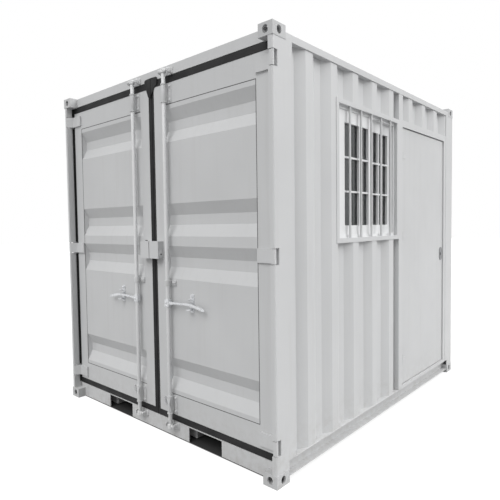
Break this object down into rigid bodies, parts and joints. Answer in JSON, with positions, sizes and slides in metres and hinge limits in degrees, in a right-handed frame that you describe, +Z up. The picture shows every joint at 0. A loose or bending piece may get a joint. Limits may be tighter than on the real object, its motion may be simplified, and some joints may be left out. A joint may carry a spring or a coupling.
{
  "type": "short steel storage container with side door and window",
  "caption": "Short steel storage container with corrugated walls, hinged cargo doors with lock rods, a barred side window and a hinged side door.",
  "frame": {"origin": "centre of the footprint, on the ground", "axes": "+Z up, -Y out of the cargo doors, +X out of the wall with the window and the side door"},
  "size_m": [2.225, 2.743, 2.5],
  "materials": {
    "bottom_castings": "pale grey paint over steel",
    "top_castings": "pale grey paint over steel",
    "front_posts": "pale grey paint over steel",
    "rear_posts": "pale grey paint over steel",
    "door_header": "pale grey paint over steel",
    "door_sill": "pale grey paint over steel",
    "rear_top_beam": "pale grey paint over steel",
    "rear_bottom_beam": "pale grey paint over steel",
    "top_side_rails": "pale grey paint over steel",
    "bottom_side_rails": "pale grey paint over steel",
    "fork_tubes": "pale grey paint over steel",
    "cross_members": "pale grey paint over steel",
    "floor_board": "plain board floor",
    "roof_sheet": "pale grey paint over steel",
    "left_wall": "pale grey paint over steel",
    "rear_wall": "pale grey paint over steel",
    "right_wall_front": "pale grey paint over steel",
    "right_wall_below": "pale grey paint over steel",
    "right_wall_above": "pale grey paint over steel",
    "wall_over_door": "pale grey paint over steel",
    "window_frame": "pale grey paint over steel",
    "window_sashes": "white window frame",
    "window_glass": "clear pane",
    "window_bars": "pale grey paint over steel",
    "jamb_post": "pale grey paint over steel",
    "side_door_frame": "pale grey paint over steel",
    "side_hinge_posts": "pale grey paint over steel",
    "keepers": "pale grey paint over steel",
    "left_leaf": "pale grey paint over steel",
    "left_gasket": "black door seal",
    "left_hinges": "pale grey paint over steel",
    "left_rod_guides": "pale grey paint over steel",
    "left_lock_box": "pale grey paint over steel",
    "right_leaf": "pale grey paint over steel",
    "right_gasket": "black door seal",
    "right_hinges": "pale grey paint over steel",
    "right_rod_guides": "pale grey paint over steel",
    "right_lock_box": "pale grey paint over steel",
    "left_lock_rod": "pale grey paint over steel",
    "right_lock_rod": "pale grey paint over steel",
    "side_leaf": "pale grey paint over steel",
    "side_hinges": "pale grey paint over steel",
    "side_lock": "dull steel lock plate and knob"
  },
  "bodies": {
    "container": {"bottom_castings": "bottom_castings", "top_castings": "top_castings", "front_posts": "front_posts", "rear_posts": "rear_posts", "door_header": "door_header", "door_sill": "door_sill", "rear_top_beam": "rear_top_beam", "rear_bottom_beam": "rear_bottom_beam", "top_side_rails": "top_side_rails", "bottom_side_rails": "bottom_side_rails", "fork_tubes": "fork_tubes", "cross_members": "cross_members", "floor_board": "floor_board", "roof_sheet": "roof_sheet", "left_wall": "left_wall", "rear_wall": "rear_wall", "right_wall_front": "right_wall_front", "right_wall_below": "right_wall_below", "right_wall_above": "right_wall_above", "wall_over_door": "wall_over_door", "window_frame": "window_frame", "window_sashes": "window_sashes", "window_glass": "window_glass", "window_bars": "window_bars", "jamb_post": "jamb_post", "side_door_frame": "side_door_frame", "side_hinge_posts": "side_hinge_posts", "keepers": "keepers"},
    "left_door": {"left_leaf": "left_leaf", "left_gasket": "left_gasket", "left_hinges": "left_hinges", "left_rod_guides": "left_rod_guides", "left_lock_box": "left_lock_box"},
    "right_door": {"right_leaf": "right_leaf", "right_gasket": "right_gasket", "right_hinges": "right_hinges", "right_rod_guides": "right_rod_guides", "right_lock_box": "right_lock_box"},
    "left_rod": {"left_lock_rod": "left_lock_rod"},
    "right_rod": {"right_lock_rod": "right_lock_rod"},
    "side_door": {"side_leaf": "side_leaf", "side_hinges": "side_hinges", "side_lock": "side_lock"}
  },
  "joints": [
    {"name": "left_door_hinge", "type": "hinge", "parent": "container", "child": "left_door", "pos_m": [-1.0995, -1.3585, 1.267], "axis": [0, 0, -1], "range_deg": [0, 260]},
    {"name": "right_door_hinge", "type": "hinge", "parent": "container", "child": "right_door", "pos_m": [1.0995, -1.3585, 1.267], "axis": [0, 0, 1], "range_deg": [0, 260]},
    {"name": "left_rod_turn", "type": "hinge", "parent": "left_door", "child": "left_rod", "pos_m": [-0.175, -1.3445, 0.925], "axis": [0, 0, -1], "range_deg": [-90, 0]},
    {"name": "right_rod_turn", "type": "hinge", "parent": "right_door", "child": "right_rod", "pos_m": [0.175, -1.3445, 0.925], "axis": [0, 0, 1], "range_deg": [-90, 0]},
    {"name": "side_door_hinge", "type": "hinge", "parent": "container", "child": "side_door", "pos_m": [1.1005, 0.2605, 1.3], "axis": [0, 0, -1], "range_deg": [0, 120]}
  ]
}
